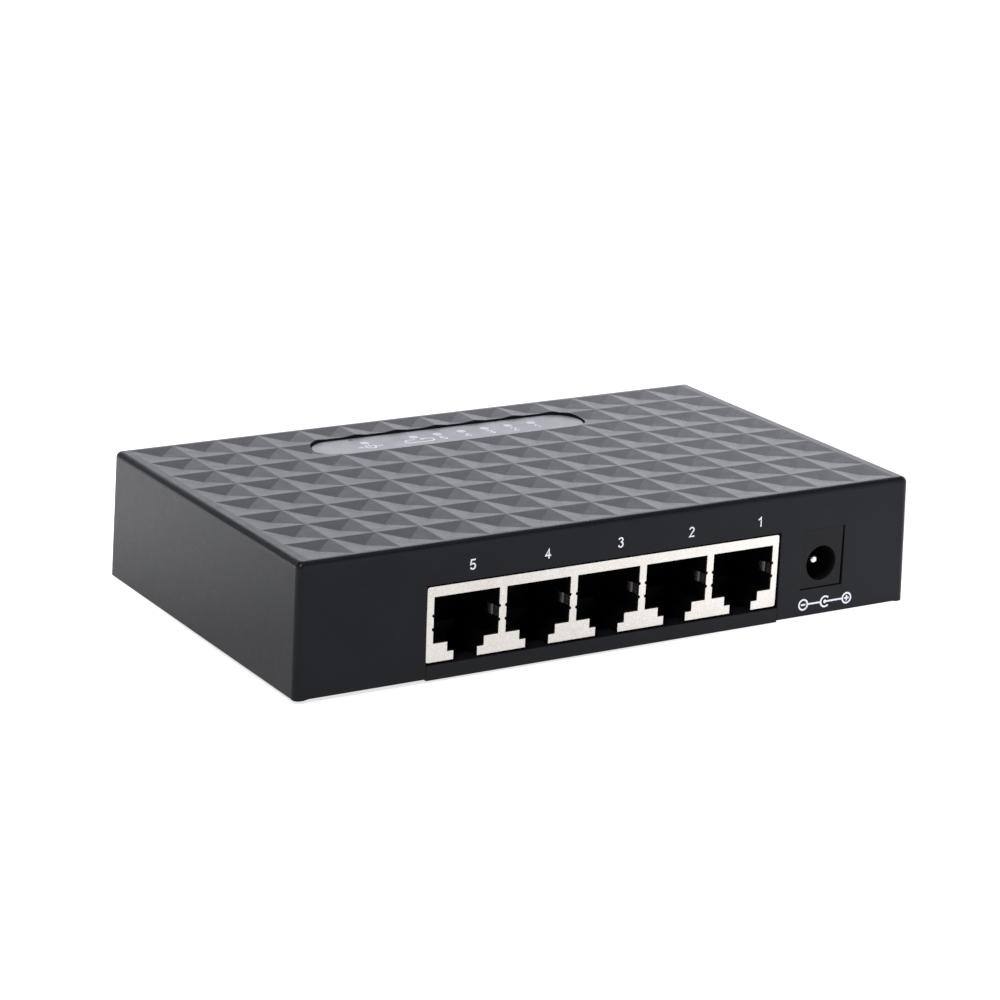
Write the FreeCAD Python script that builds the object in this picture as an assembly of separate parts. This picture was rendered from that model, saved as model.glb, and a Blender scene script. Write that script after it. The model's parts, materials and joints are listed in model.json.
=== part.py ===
import FreeCAD, Part
import math
import os

# Desktop network switch, in millimetres.
# Frame: origin under the centre of the case at the level of the feet, +X to the
# right as seen from the socket side, +Y away from the sockets, +Z up.

V = FreeCAD.Vector

# ---------------------------------------------------------------- driving sizes

# Case
FOOT_PROUD = 0.4            # how far the rubber feet stand below the case
CASE_HEIGHT = 23.36
TOP_WIDTH = 123.06
TOP_DEPTH = 70.54
DRAFT = 0.54                # each side grows this much from top to bottom
WALL = 1.9
ROOF = 1.6
CORNER_RADIUS = 1.2
TOP_EDGE_RADIUS = 1.1
EDGE_RELIEF = 0.31          # the wall edges stop this far above the base
LAND_RELIEF = 0.15          # and the lands at the four corners this far
LAND_ON_FRONT = 2.6         # how far a land runs along the front or back wall
LAND_ON_SIDE = 1.4          # and along the side wall
LAND_SLOPE = 0.9            # length of the slope from land to edge

BASE_Z = FOOT_PROUD
TOP_Z = BASE_Z + CASE_HEIGHT
HALF_X = TOP_WIDTH / 2
HALF_Y = TOP_DEPTH / 2
INNER_X = HALF_X - WALL
INNER_Y = HALF_Y - WALL

# Pyramid pits of the roof
CELL = 8.458
COLUMNS = 14
ROWS = 8
RIDGE = 0.22
PIT_DEPTH = 0.5
CEILING_Z = TOP_Z - PIT_DEPTH - ROOF

# Indicator window
WINDOW_LENGTH = 57.0
WINDOW_WIDTH = 10.8
WINDOW_Y = 2 * CELL + WINDOW_WIDTH / 2
LABEL_BELOW_ROOF = 0.6
LABEL_THICKNESS = 0.35
LABEL_GAP = 0.26
LABEL_ROUNDING = 0.16
LED_Y = 23.83
LED_PITCH = 5.08
LED_FIRST_X = -17.15
LED_STEPS = (0, 2, 3, 4, 5, 6, 7)
LED_NAMES = ("power", "loop", "port_5", "port_4", "port_3", "port_2", "port_1")
WELL_RADIUS = 0.95

# Network sockets
PORT_COUNT = 5
PORT_PITCH = 13.97
PORT_MIDDLE_X = -2.07
SHIELD_LEFT = -37.63
SHIELD_RIGHT = 33.41
SHIELD_FRONT = -35.3
SHIELD_DEPTH = 20.9
SHIELD_BOTTOM = BASE_Z + 2.89
SHIELD_TOP = BASE_Z + 16.09
SHEET = 0.3
SHIELD_BEND = 0.5           # outer radius of the shield's long bends
OPENING_WIDTH = 12.59
OPENING_TOP = BASE_Z + 14.29
STEP_1_Z = BASE_Z + 6.16
STEP_1_WIDTH = 7.07
STEP_2_Z = BASE_Z + 4.48
STEP_2_WIDTH = 4.57
FINGER_NOTCHES = (BASE_Z + 8.64, BASE_Z + 11.04)
NOTCH_RADIUS = 0.3
FINGER_BULGE = 0.36
FINGER_STRAIGHT = 2.0       # the tongue runs straight in this far before its bulge
FINGER_BUMP = 1.8           # length of the bulge
CAVITY_DEPTH = 14.1
LATCH_DEPTH = 9.4

# Contact springs of one socket
CONTACT_COUNT = 8
CONTACT_PITCH = 1.02
CONTACT_WIDTH = 0.46
CONTACT_THICKNESS = 0.34
CONTACT_ROOT_Y = -31.35
CONTACT_ROOT_Z = BASE_Z + 14.36
CONTACT_LENGTH = 9.4
CONTACT_ANGLE = 18.0
LEAD_Z = BASE_Z + 14.81
LEAD_HOOK_Y = -32.1
TAIL_ROWS = (-19.0, -16.5)

# Power inlet
DC_X = 42.87
DC_WIDTH = 8.9
DC_FRONT = -35.42
DC_LENGTH = 14.1
DC_BOTTOM = BASE_Z + 5.3
DC_HOLE_Z = BASE_Z + 9.7
DC_HOLE_RADIUS = 3.21
DC_HOLE_DEPTH = 9.6
DC_PIN_RADIUS = 1.0
DC_PIN_SETBACK = 1.7
LEAF_WIDTH = 2.4
LEAF_THICKNESS = 0.3
LEAF_ROOT_Y = -22.55
LEAF_ROOT_Z = BASE_Z + 13.8
LEAF_BUMP_Y = -28.55
LEAF_BUMP_Z = DC_HOLE_Z + 2.55
LEAF_TIP_Y = -30.55
LEAF_TIP_Z = DC_HOLE_Z + 3.35

# Circuit board, hung above the sockets
BOARD_LEFT = -42.0
BOARD_RIGHT = 50.0
BOARD_FRONT = -32.6
BOARD_BACK = 26.6
BOARD_Z = BASE_Z + 16.14
BOARD_THICKNESS = 1.6
BOARD_TOP = BOARD_Z + BOARD_THICKNESS
BOARD_SCREWS = ((-38.5, -9.0), (46.5, -12.0), (-38.5, 22.8), (46.5, 22.8))
BOARD_BOSS_RADIUS = 2.5

# Bottom cover
FLOOR = 1.8
FLOOR_TOP = BASE_Z + FLOOR
COVER_GAP = 0.15
LIP = 1.2
LIP_HEIGHT = 2.5
CASE_SCREW_X = 54.6
CASE_SCREW_Y = 28.2
SCREW_BOSS_RADIUS = 3.4
SCREW_BOSS_HEIGHT = 3.2
COLUMN_RADIUS = 2.9
SCREW_RADIUS = 1.07
PILOT_RADIUS = 1.1
FOOT_X = 44.0
FOOT_Y = 27.0
FOOT_RADIUS = 4.5
FOOT_POCKET = 0.9
KEYHOLE_X = 30.0
KEYHOLE_Y = 2.0
KEYHOLE_HEAD_RADIUS = 3.6
KEYHOLE_SLOT_RADIUS = 1.9
KEYHOLE_SLOT_RUN = 7.0
VENT_COUNT = 9
VENT_PITCH = 5.2
VENT_LENGTH = 14.0
VENT_WIDTH = 1.8
VENT_Y = 8.0


# ------------------------------------------------------------- small helpers

def block(x0, x1, y0, y1, z0, z1):
    """Axis-aligned block between two corners."""
    return Part.makeBox(x1 - x0, y1 - y0, z1 - z0, V(x0, y0, z0))


def drum(radius, x, y, z0, z1):
    """Upright cylinder."""
    return Part.makeCylinder(radius, z1 - z0, V(x, y, z0), V(0, 0, 1))


def rounded_wire(half_x, half_y, radius, z):
    """Rounded rectangle about the Z axis."""
    ix = half_x - radius
    iy = half_y - radius
    edges = []
    for cx, cy, start in ((ix, iy, 0), (-ix, iy, 90), (-ix, -iy, 180), (ix, -iy, 270)):
        a = math.radians(start)
        m = math.radians(start + 45)
        b = math.radians(start + 90)
        points = [V(cx + radius * math.cos(t), cy + radius * math.sin(t), z) for t in (a, m, b)]
        edges.append(Part.Arc(*points).toShape())
    sides = []
    for first, second in zip(edges, edges[1:] + edges[:1]):
        sides.append(first)
        sides.append(Part.makeLine(first.Vertexes[-1].Point, second.Vertexes[0].Point))
    return Part.Wire(sides)


def rounded_slab(half_x, half_y, radius, z0, z1, x=0.0, y=0.0):
    """Rounded rectangular slab about the point x, y."""
    face = Part.Face(rounded_wire(half_x, half_y, radius, z0))
    slab = face.extrude(V(0, 0, z1 - z0))
    slab.translate(V(x, y, 0))
    return slab


def pill(length, width, z0, z1, x, y):
    """Slot shape with round ends, long in X."""
    return rounded_slab(length / 2, width / 2, width / 2 - 0.001, z0, z1, x, y)


def prism_yz(points, x0, x1):
    """Extrude a polygon in the YZ plane from x0 to x1."""
    corners = [V(x0, y, z) for y, z in points]
    wire = Part.makePolygon(corners + corners[:1])
    return Part.Face(wire).extrude(V(x1 - x0, 0, 0))


def prism_xy(points, z0, z1):
    """Extrude a polygon in the XY plane from z0 to z1."""
    corners = [V(x, y, z0) for x, y in points]
    wire = Part.makePolygon(corners + corners[:1])
    return Part.Face(wire).extrude(V(0, 0, z1 - z0))


def union(shapes):
    """Fuse a list of solids into one."""
    return shapes[0].multiFuse(shapes[1:]).removeSplitter()


def save(name, solids):
    """Write one node; solids is one shape or a list of separate solids."""
    if isinstance(solids, list):
        solids = Part.makeCompound(solids)
    if not solids.isValid():
        raise ValueError(name + " is not a valid shape")
    solids.exportStep("parts/" + name + ".step")
    print(name, len(solids.Solids), round(solids.Volume, 2))


def port_x(port):
    """Centre of a socket; socket 1 is the one beside the power inlet."""
    return PORT_MIDDLE_X + PORT_PITCH * (3 - port)


def contact_x(port, index):
    return port_x(port) + CONTACT_PITCH * (index - (CONTACT_COUNT - 1) / 2)


def led_x(step):
    return LED_FIRST_X + LED_PITCH * step


def corners(x, y):
    """The four corner points at plus and minus x and y."""
    return [(sx * x, sy * y) for sx in (-1, 1) for sy in (-1, 1)]


# ------------------------------------------------------------------ top cover

def outer_block():
    """The case's outside: drafted walls, round upright corners, round top edge."""
    low = rounded_wire(HALF_X + DRAFT, HALF_Y + DRAFT, CORNER_RADIUS, BASE_Z)
    high = rounded_wire(HALF_X, HALF_Y, CORNER_RADIUS, TOP_Z)
    body = Part.makeLoft([low, high], True, True)
    rim = [e for e in body.Edges if e.BoundBox.ZMin > TOP_Z - 0.01]
    return body.makeFillet(TOP_EDGE_RADIUS, rim)


def roof_pits():
    """One upside-down pyramid for each cell of the roof grid."""
    half = (CELL - RIDGE) / 2
    pits = []
    for column in range(COLUMNS):
        for row in range(ROWS):
            x = CELL * (column - (COLUMNS - 1) / 2)
            y = CELL * (row - (ROWS - 1) / 2)
            apex = V(x, y, TOP_Z - PIT_DEPTH)
            rim = [V(x + i * half, y + j * half, TOP_Z)
                   for i, j in ((-1, -1), (1, -1), (1, 1), (-1, 1))]
            faces = [Part.Face(Part.makePolygon(rim + rim[:1]))]
            for first, second in zip(rim, rim[1:] + rim[:1]):
                faces.append(Part.Face(Part.makePolygon([first, second, apex, first])))
            pits.append(Part.makeSolid(Part.makeShell(faces)))
    return pits


def relief_outline(reach):
    """Flat-topped outline with sloped ends; reach is half its length at full depth."""
    low = BASE_Z - 1
    land = BASE_Z + LAND_RELIEF
    edge = BASE_Z + EDGE_RELIEF
    right = [(reach, edge), (reach + LAND_SLOPE, land), (reach + LAND_SLOPE, low)]
    return right + [(-along, z) for along, z in reversed(right)]


def edge_reliefs():
    """Cuts that lift the wall edges off the base, and the four corner lands a little less."""
    x = HALF_X + 2
    y = HALF_Y + 2
    front = relief_outline(HALF_X + DRAFT - LAND_ON_FRONT)
    side = relief_outline(HALF_Y + DRAFT - LAND_ON_SIDE)
    return [block(-x, x, -y, y, BASE_Z - 1, BASE_Z + LAND_RELIEF),
            mouth(front, -y, y), prism_yz(side, -x, x)]


def top_cover(outside):
    hollow = rounded_slab(INNER_X, INNER_Y, 0.8, BASE_Z - 1, CEILING_Z)
    shell = outside.cut(hollow)

    inside = []
    for x, y in BOARD_SCREWS:
        inside.append(drum(BOARD_BOSS_RADIUS, x, y, BOARD_TOP, CEILING_Z + 0.5))
    for x, y in corners(CASE_SCREW_X, CASE_SCREW_Y):
        inside.append(drum(COLUMN_RADIUS, x, y, BASE_Z + SCREW_BOSS_HEIGHT + 0.1, CEILING_Z + 0.5))
    led_left = led_x(LED_STEPS[0])
    led_right = led_x(LED_STEPS[-1])
    baffle_z = BOARD_TOP + 1.05
    inside.append(block(led_left - 2.6, led_right + 2.6, LED_Y - 2.4, LED_Y + 2.4,
                        baffle_z, CEILING_Z + 0.5))
    shell = union([shell] + inside)

    tools = roof_pits() + edge_reliefs()
    floor_z = TOP_Z - LABEL_BELOW_ROOF - LABEL_THICKNESS
    tools.append(pill(WINDOW_LENGTH, WINDOW_WIDTH, floor_z, TOP_Z + 1, 0.0, WINDOW_Y))
    for step in LED_STEPS:
        tools.append(drum(WELL_RADIUS, led_x(step), LED_Y, baffle_z - 1, TOP_Z))
    for x, y in BOARD_SCREWS:
        tools.append(drum(PILOT_RADIUS, x, y, BOARD_TOP - 1, CEILING_Z + 0.6))
    for x, y in corners(CASE_SCREW_X, CASE_SCREW_Y):
        tools.append(drum(PILOT_RADIUS, x, y, BASE_Z, BASE_Z + 13.5))
    tools.append(block(SHIELD_LEFT - 0.15, SHIELD_RIGHT + 0.3, -HALF_Y - 2, -INNER_Y + 0.5,
                       BASE_Z - 1, SHIELD_TOP + 0.34))
    tools.append(block(DC_X - DC_WIDTH / 2 - 0.04, DC_X + DC_WIDTH / 2 + 0.36,
                       -HALF_Y - 2, -INNER_Y + 0.5, DC_BOTTOM - 0.14, BOARD_Z + 0.04))
    return shell.cut(tools)


def indicator_label():
    z0 = TOP_Z - LABEL_BELOW_ROOF - LABEL_THICKNESS
    sheet = pill(WINDOW_LENGTH - 2 * LABEL_GAP, WINDOW_WIDTH - 2 * LABEL_GAP,
                 z0, z0 + LABEL_THICKNESS, 0.0, WINDOW_Y)
    rim = [e for e in sheet.Edges if e.BoundBox.ZMin > z0 + LABEL_THICKNESS - 0.01]
    sheet = sheet.makeFillet(LABEL_ROUNDING, rim)
    dimple = drum(0.35, led_x(0) - 1.6, LED_Y + 2.5, z0 + LABEL_THICKNESS - 0.12, TOP_Z)
    return sheet.cut(dimple)


# --------------------------------------------------------------- bottom cover

def keyhole(x):
    """Wall-hanging keyhole: round entry with a narrow slot behind it."""
    slot_end = KEYHOLE_Y + KEYHOLE_SLOT_RUN
    entry = drum(KEYHOLE_HEAD_RADIUS, x, KEYHOLE_Y, BASE_Z - 1, FLOOR_TOP + 1)
    slot = block(x - KEYHOLE_SLOT_RADIUS, x + KEYHOLE_SLOT_RADIUS, KEYHOLE_Y, slot_end,
                 BASE_Z - 1, FLOOR_TOP + 1)
    end = drum(KEYHOLE_SLOT_RADIUS, x, slot_end, BASE_Z - 1, FLOOR_TOP + 1)
    return union([entry, slot, end])


def bottom_cover(outside):
    half_x = INNER_X - COVER_GAP
    half_y = INNER_Y - COVER_GAP
    plate = rounded_slab(half_x, half_y, 0.8, BASE_Z, FLOOR_TOP)
    lip = rounded_slab(half_x, half_y, 0.8, FLOOR_TOP - 0.5, FLOOR_TOP + LIP_HEIGHT)
    lip = lip.cut(rounded_slab(half_x - LIP, half_y - LIP, 0.6, BASE_Z, TOP_Z))
    lip = lip.cut(block(SHIELD_LEFT - 0.8, SHIELD_RIGHT + 0.9, -HALF_Y, -20.0, BASE_Z, TOP_Z))
    strip = block(SHIELD_LEFT - 0.05, SHIELD_RIGHT + 0.2, -HALF_Y - 2, -half_y + 1.0,
                  BASE_Z, SHIELD_BOTTOM - 0.3)
    strip = strip.common(outside)
    parts = [plate, lip, strip]
    for x, y in corners(CASE_SCREW_X, CASE_SCREW_Y):
        parts.append(drum(SCREW_BOSS_RADIUS, x, y, BASE_Z, BASE_Z + SCREW_BOSS_HEIGHT))
    for x in (SHIELD_LEFT + 8, SHIELD_RIGHT - 8):
        parts.append(block(x - 3, x + 3, -24.0, -21.5, FLOOR_TOP - 0.5, SHIELD_BOTTOM - 0.05))
    cover = union(parts)
    cover = cover.common(rounded_slab(half_x, HALF_Y + 2, 0.8, BASE_Z, TOP_Z))

    tools = [keyhole(-KEYHOLE_X), keyhole(KEYHOLE_X)]
    for x, y in corners(CASE_SCREW_X, CASE_SCREW_Y):
        tools.append(drum(1.4, x, y, BASE_Z - 1, BASE_Z + 5))
        tools.append(drum(2.5, x, y, BASE_Z - 1, BASE_Z + 1.6))
    for x, y in corners(FOOT_X, FOOT_Y):
        tools.append(drum(FOOT_RADIUS + 0.15, x, y, BASE_Z - 1, BASE_Z + FOOT_POCKET))
    for index in range(VENT_COUNT):
        x = VENT_PITCH * (index - (VENT_COUNT - 1) / 2)
        vent = rounded_slab(VENT_WIDTH / 2, VENT_LENGTH / 2, VENT_WIDTH / 2 - 0.001,
                            BASE_Z - 1, FLOOR_TOP + 1, x, VENT_Y)
        tools.append(vent)
    return cover.cut(tools)


def rubber_foot(x, y):
    foot = drum(FOOT_RADIUS, x, y, 0.0, BASE_Z + FOOT_POCKET)
    rim = [e for e in foot.Edges if e.BoundBox.ZMax < 0.01]
    return foot.makeFillet(0.3, rim)


def cross_recess(x, y, z0, z1):
    """Cross-head drive recess."""
    arm = 1.15
    half = 0.28
    return union([block(x - arm, x + arm, y - half, y + half, z0, z1),
                  block(x - half, x + half, y - arm, y + arm, z0, z1)])


def screw(x, y, head_z, head_radius, head_height, length):
    """Pan-head self-tapping screw, driven upwards; head_z is the head's underside level."""
    head = drum(head_radius, x, y, head_z - head_height, head_z)
    rim = [e for e in head.Edges if e.BoundBox.ZMax < head_z - head_height + 0.01]
    head = head.makeFillet(0.35, rim)
    shank = drum(SCREW_RADIUS, x, y, head_z, head_z + length)
    tip = Part.makeCone(SCREW_RADIUS, 0.2, 1.0, V(x, y, head_z + length), V(0, 0, 1))
    body = union([head, shank, tip])
    return body.cut(cross_recess(x, y, head_z - head_height - 1, head_z - head_height + 0.7))


# ------------------------------------------------------------ network sockets

def opening_profile(x, width, top, step_1, step_1_width, step_2, step_2_width, bottom):
    """Stepped outline of one socket's mouth, as a list of x, z points."""
    half = width / 2
    half_1 = step_1_width / 2
    half_2 = step_2_width / 2
    right = [(half, top), (half, step_1), (half_1, step_1), (half_1, step_2),
             (half_2, step_2), (half_2, bottom)]
    left = [(-px, pz) for px, pz in reversed(right)]
    return [(x + px, pz) for px, pz in right + left]


def mouth(points, y0, y1):
    """Extrude an x, z outline from y0 back to y1."""
    rim = [V(x, y0, z) for x, z in points]
    return Part.Face(Part.makePolygon(rim + rim[:1])).extrude(V(0, y1 - y0, 0))


def bent_box(inset):
    """The jack block's envelope, pulled in by inset, with its long edges rounded."""
    body = block(SHIELD_LEFT + inset, SHIELD_RIGHT - inset, SHIELD_FRONT + inset,
                 SHIELD_FRONT + SHIELD_DEPTH - inset, SHIELD_BOTTOM + inset, SHIELD_TOP - inset)
    long_edges = []
    for edge in body.Edges:
        box = edge.BoundBox
        if box.XLength < 0.01 and box.ZLength < 0.01:
            long_edges.append(edge)
    return body.makeFillet(SHIELD_BEND - inset, long_edges)


def ground_finger(port, side):
    """Bent tongue of the shield that touches the plug's side."""
    x = port_x(port)
    edge = OPENING_WIDTH / 2
    half = FINGER_BUMP / 2
    radius = (half ** 2 + FINGER_BULGE ** 2) / (2 * FINGER_BULGE)
    centre_x = edge - FINGER_BULGE + radius
    centre_y = SHIELD_FRONT + FINGER_STRAIGHT + half
    sweep = math.asin(half / radius)
    thickness = 0.25
    inner = [(edge, SHIELD_FRONT)]
    outer = [(edge + thickness, SHIELD_FRONT)]
    for i in range(9):
        angle = sweep * (i - 4) / 4
        px = centre_x - radius * math.cos(angle)
        py = centre_y + radius * math.sin(angle)
        inner.append((px, py))
        outer.append((px + thickness, py))
    outline = [(x + side * px, py) for px, py in inner + outer[::-1]]
    low, high = FINGER_NOTCHES
    return prism_xy(outline, low + NOTCH_RADIUS, high - NOTCH_RADIUS)


def jack_shield():
    shell = bent_box(0.0).cut(bent_box(SHEET))
    tools = []
    back = SHIELD_FRONT + SHEET
    for port in range(1, PORT_COUNT + 1):
        x = port_x(port)
        outline = opening_profile(x, OPENING_WIDTH, OPENING_TOP, STEP_1_Z, STEP_1_WIDTH,
                                  STEP_2_Z, STEP_2_WIDTH, SHIELD_BOTTOM - 1)
        tools.append(mouth(outline, SHIELD_FRONT - 1, back))
        half = STEP_2_WIDTH / 2 + 0.6
        tools.append(block(x - half, x + half, back, SHIELD_FRONT + LATCH_DEPTH + 0.6,
                           SHIELD_BOTTOM - 1, SHIELD_BOTTOM + SHEET))
        tools.append(block(x - 4.6, x + 4.6, TAIL_ROWS[0] - 1.0, TAIL_ROWS[1] + 1.0,
                           SHIELD_TOP - SHEET - 0.1, SHIELD_TOP + 1))
        for side in (-1, 1):
            for z in FINGER_NOTCHES:
                tools.append(Part.makeCylinder(NOTCH_RADIUS, SHEET + 1.0,
                                               V(x + side * OPENING_WIDTH / 2,
                                                 SHIELD_FRONT - 1, z), V(0, 1, 0)))
    shell = shell.cut(tools)
    extras = []
    for port in range(1, PORT_COUNT + 1):
        extras.append(ground_finger(port, -1))
        extras.append(ground_finger(port, 1))
    for x0 in (SHIELD_LEFT, SHIELD_RIGHT - SHEET):
        for y in (-29.0, -17.0):
            extras.append(block(x0, x0 + SHEET, y - 0.8, y + 0.8, SHIELD_TOP - 2, BOARD_TOP + 0.6))
    return union([shell] + extras)


def jack_housing(leads):
    """Black insulator inside the shield, with five socket cavities."""
    body = bent_box(SHEET)
    front = SHIELD_FRONT
    tools = []
    for port in range(1, PORT_COUNT + 1):
        x = port_x(port)
        outline = opening_profile(x, OPENING_WIDTH - 0.2, OPENING_TOP - 0.1, STEP_1_Z + 0.1,
                                  STEP_1_WIDTH, STEP_2_Z + 0.1, STEP_2_WIDTH,
                                  SHIELD_BOTTOM + 0.1)
        plug = [p for p in outline if p[1] > STEP_1_Z]
        tools.append(mouth(plug, front - 1, front + CAVITY_DEPTH))
        tools.append(mouth(outline, front - 1, front + LATCH_DEPTH))
        tools.append(block(x - STEP_2_WIDTH / 2, x + STEP_2_WIDTH / 2, front - 1, front + 3.3,
                           SHIELD_BOTTOM - 1, STEP_2_Z))
        tools.append(block(x - 4.35, x + 4.35, LEAD_HOOK_Y - 0.1, front + CAVITY_DEPTH,
                           OPENING_TOP - 0.5, LEAD_Z - 0.15))
        tools.append(block(x - 4.35, x + 4.35, LEAD_HOOK_Y - 0.1, CONTACT_ROOT_Y + 0.4,
                           OPENING_TOP - 0.5, LEAD_Z + CONTACT_THICKNESS))
        half = OPENING_WIDTH / 2 + 0.36
        low, high = FINGER_NOTCHES
        tongue_end = front + FINGER_STRAIGHT + FINGER_BUMP + 0.4
        tools.append(block(x - half, x + half, front - 1, tongue_end, low, high))
    body = body.cut(tools)
    ledges = []
    tip_drop = CONTACT_LENGTH * math.sin(math.radians(CONTACT_ANGLE))
    ledge_top = CONTACT_ROOT_Z - tip_drop - CONTACT_THICKNESS / 2 - 0.09
    for port in range(1, PORT_COUNT + 1):
        x = port_x(port)
        ledges.append(block(x - 4.3, x + 4.3, front + CAVITY_DEPTH - 1.5,
                            front + CAVITY_DEPTH + 0.2, ledge_top - 0.8, ledge_top))
    body = union([body] + ledges)
    return body.cut(leads)


def contact_lead(port, index):
    """Fixed half of one contact: solder tail, run along the roof and front hook."""
    x0 = contact_x(port, index) - CONTACT_WIDTH / 2
    x1 = x0 + CONTACT_WIDTH
    t = CONTACT_THICKNESS
    tail_y = TAIL_ROWS[index % 2]
    tail_top = BOARD_TOP + 0.7
    outline = [(LEAD_HOOK_Y, LEAD_Z - 0.4), (LEAD_HOOK_Y + t, LEAD_Z - 0.4),
               (LEAD_HOOK_Y + t, LEAD_Z), (tail_y, LEAD_Z), (tail_y, tail_top),
               (tail_y - t, tail_top), (tail_y - t, LEAD_Z + t), (LEAD_HOOK_Y, LEAD_Z + t)]
    return prism_yz(outline, x0, x1)


def contact_spring(port, index):
    """Free arm of one contact, sloping down and back from its bend."""
    x0 = contact_x(port, index) - CONTACT_WIDTH / 2
    radius = CONTACT_THICKNESS / 2
    root = V(x0, CONTACT_ROOT_Y, CONTACT_ROOT_Z)
    arm = block(x0, x0 + CONTACT_WIDTH, CONTACT_ROOT_Y, CONTACT_ROOT_Y + CONTACT_LENGTH,
                CONTACT_ROOT_Z - radius, CONTACT_ROOT_Z + radius)
    bend = Part.makeCylinder(radius, CONTACT_WIDTH, root, V(1, 0, 0))
    tip = Part.makeCylinder(radius, CONTACT_WIDTH, root + V(0, CONTACT_LENGTH, 0), V(1, 0, 0))
    spring = union([arm, bend, tip])
    spring.rotate(root, V(1, 0, 0), -CONTACT_ANGLE)
    return spring


# ---------------------------------------------------------------- power inlet

def dc_jack_body():
    x0 = DC_X - DC_WIDTH / 2
    x1 = DC_X + DC_WIDTH / 2
    back = DC_FRONT + DC_LENGTH
    body = block(x0, x1, DC_FRONT, back, DC_BOTTOM, BOARD_Z)
    hole = Part.makeCylinder(DC_HOLE_RADIUS, DC_HOLE_DEPTH + 1,
                             V(DC_X, DC_FRONT - 1, DC_HOLE_Z), V(0, 1, 0))
    pin_seat = Part.makeCylinder(DC_PIN_RADIUS, DC_LENGTH, V(DC_X, DC_FRONT + 3, DC_HOLE_Z),
                                 V(0, 1, 0))
    half = LEAF_WIDTH / 2 + 0.2
    slot = block(DC_X - half, DC_X + half, DC_FRONT + 2.4, back + 1,
                 DC_HOLE_Z + DC_HOLE_RADIUS - 1.0, LEAF_ROOT_Z + 1.1)
    leaf_blade = dc_jack_terminals()[1]
    return body.cut([hole, pin_seat, slot, leaf_blade])


def dc_jack_pin():
    back = DC_FRONT + DC_LENGTH
    tip_y = DC_FRONT + DC_PIN_SETBACK
    pin = Part.makeCylinder(DC_PIN_RADIUS, back + 0.6 - tip_y, V(DC_X, tip_y, DC_HOLE_Z),
                            V(0, 1, 0))
    rim = [e for e in pin.Edges if e.BoundBox.YMax < tip_y + 0.01]
    return pin.makeFillet(0.9, rim)


def dc_jack_spring():
    """Leaf that presses on the plug's sleeve and tips up about its rear bend."""
    half = LEAF_THICKNESS / 2
    spine = [(LEAF_ROOT_Y, LEAF_ROOT_Z), (LEAF_BUMP_Y, LEAF_BUMP_Z), (LEAF_TIP_Y, LEAF_TIP_Z)]
    upper = [(y, z + half) for y, z in spine]
    lower = [(y, z - half) for y, z in reversed(spine)]
    leaf = prism_yz(upper + lower, DC_X - LEAF_WIDTH / 2, DC_X + LEAF_WIDTH / 2)
    root = Part.makeCylinder(half, LEAF_WIDTH, V(DC_X - LEAF_WIDTH / 2, LEAF_ROOT_Y, LEAF_ROOT_Z),
                             V(1, 0, 0))
    return union([leaf, root])


def dc_jack_terminals():
    """Blades from the pin, the leaf and the side switch up through the board."""
    back = DC_FRONT + DC_LENGTH
    top = BOARD_TOP + 0.7
    pin_blade = block(DC_X - 1.2, DC_X + 1.2, back + 0.6, back + 0.9, DC_HOLE_Z - 1.2, top)
    leaf_blade = block(DC_X - 1.1, DC_X + 1.1, LEAF_ROOT_Y + 0.35, LEAF_ROOT_Y + 0.65,
                       LEAF_ROOT_Z - 0.5, top)
    side = DC_X - DC_WIDTH / 2
    side_blade = block(side - 0.3, side, back - 7.5, back - 5.5, DC_BOTTOM + 2, top)
    return [pin_blade, leaf_blade, side_blade]


# --------------------------------------------------------------- circuit board

def circuit_board():
    board = rounded_slab((BOARD_RIGHT - BOARD_LEFT) / 2, (BOARD_BACK - BOARD_FRONT) / 2, 1.0,
                         BOARD_Z, BOARD_TOP, (BOARD_LEFT + BOARD_RIGHT) / 2,
                         (BOARD_FRONT + BOARD_BACK) / 2)
    z0 = BOARD_Z - 1
    z1 = BOARD_TOP + 1
    tools = [drum(1.4, x, y, z0, z1) for x, y in BOARD_SCREWS]
    for port in range(1, PORT_COUNT + 1):
        for index in range(CONTACT_COUNT):
            y = TAIL_ROWS[index % 2] - CONTACT_THICKNESS / 2
            tools.append(drum(0.42, contact_x(port, index), y, z0, z1))
    for x0 in (SHIELD_LEFT, SHIELD_RIGHT - SHEET):
        for y in (-29.0, -17.0):
            tools.append(block(x0 - 0.3, x0 + SHEET + 0.3, y - 1.1, y + 1.1, z0, z1))
    for blade in dc_jack_terminals():
        box = blade.BoundBox
        tools.append(block(box.XMin - 0.25, box.XMax + 0.25, box.YMin - 0.25, box.YMax + 0.25,
                           z0, z1))
    return board.cut(tools)


def hanging_block(x, y, length, width, height, chamfer=0.2):
    """Component body on the board's underside."""
    body = block(x - length / 2, x + length / 2, y - width / 2, y + width / 2,
                 BOARD_Z - height, BOARD_Z)
    rim = [e for e in body.Edges if e.BoundBox.ZMax < BOARD_Z - height + 0.01]
    return body.makeChamfer(chamfer, rim)


def pin_row(x, y, count, pitch, along_x, outward, reach):
    """Row of gull-wing pins; x, y is where the row meets the component's side."""
    pins = []
    thickness = 0.3
    for index in range(count):
        shift = pitch * (index - (count - 1) / 2)
        if along_x:
            y0, y1 = sorted((y, y + outward * reach))
            pin = block(x + shift - 0.2, x + shift + 0.2, y0, y1, BOARD_Z - thickness, BOARD_Z)
        else:
            x0, x1 = sorted((x, x + outward * reach))
            pin = block(x0, x1, y + shift - 0.2, y + shift + 0.2, BOARD_Z - thickness, BOARD_Z)
        pins.append(pin)
    return pins


def port_transformer(port):
    """Isolating transformer module behind one socket."""
    x = port_x(port)
    y = -6.5
    solids = [hanging_block(x, y, 9.4, 6.8, 3.4, 0.35)]
    for outward in (-1, 1):
        solids += pin_row(x, y + outward * 3.4, 6, 1.5, True, outward, 0.9)
    return solids


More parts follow.
